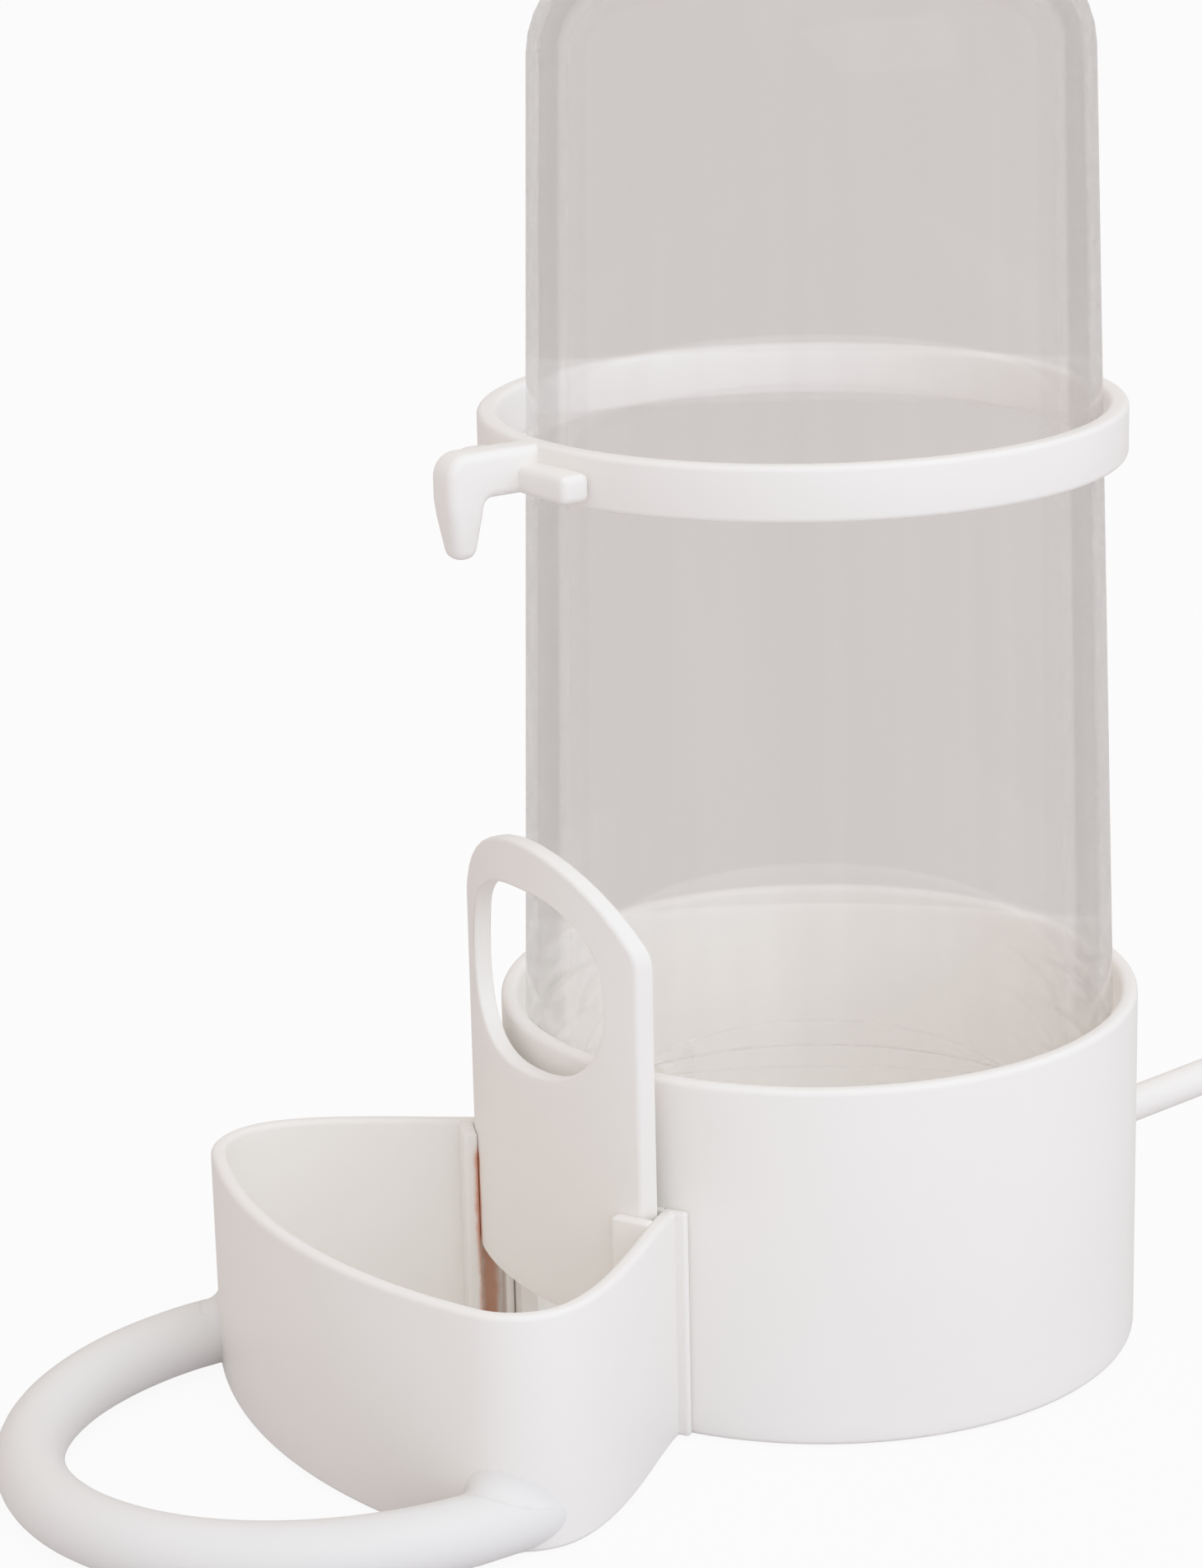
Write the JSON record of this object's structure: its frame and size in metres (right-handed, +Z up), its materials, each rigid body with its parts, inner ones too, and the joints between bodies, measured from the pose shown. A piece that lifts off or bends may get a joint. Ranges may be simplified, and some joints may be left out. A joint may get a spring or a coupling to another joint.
{
  "type": "bird cage water dispenser",
  "caption": "Gravity water dispenser for a bird cage: clear upturned reservoir in a round cup, sliding gate, drinking trough with perch loop, and a clip ring with a T hook.",
  "frame": {"origin": "centre of the round cup's flat foot, on the surface the dispenser stands on", "axes": "+Z up along the cup's axis, -Y towards the drinking trough and the hook, X across"},
  "size_m": [0.0682, 0.1546, 0.1492],
  "materials": {
    "white_plastic": "moulded satin white",
    "clear_plastic": "moulded clear, slightly smoky"
  },
  "bodies": {
    "base": {"cup": "white_plastic", "trough": "white_plastic", "perch_loop": "white_plastic"},
    "reservoir": {"reservoir": "clear_plastic"},
    "clip": {"clip_ring": "white_plastic"},
    "gate": {"gate": "white_plastic"}
  },
  "joints": [
    {"name": "reservoir_lift", "type": "slide", "parent": "base", "child": "reservoir", "axis": [0, 0, 1], "range_m": [0, 0.06]},
    {"name": "ring_slide", "type": "slide", "parent": "reservoir", "child": "clip", "axis": [0, 0, 1], "range_m": [0, 0.054]},
    {"name": "gate_slide", "type": "slide", "parent": "base", "child": "gate", "axis": [0, 0, 1], "range_m": [-0.0097, 0.0135]}
  ]
}
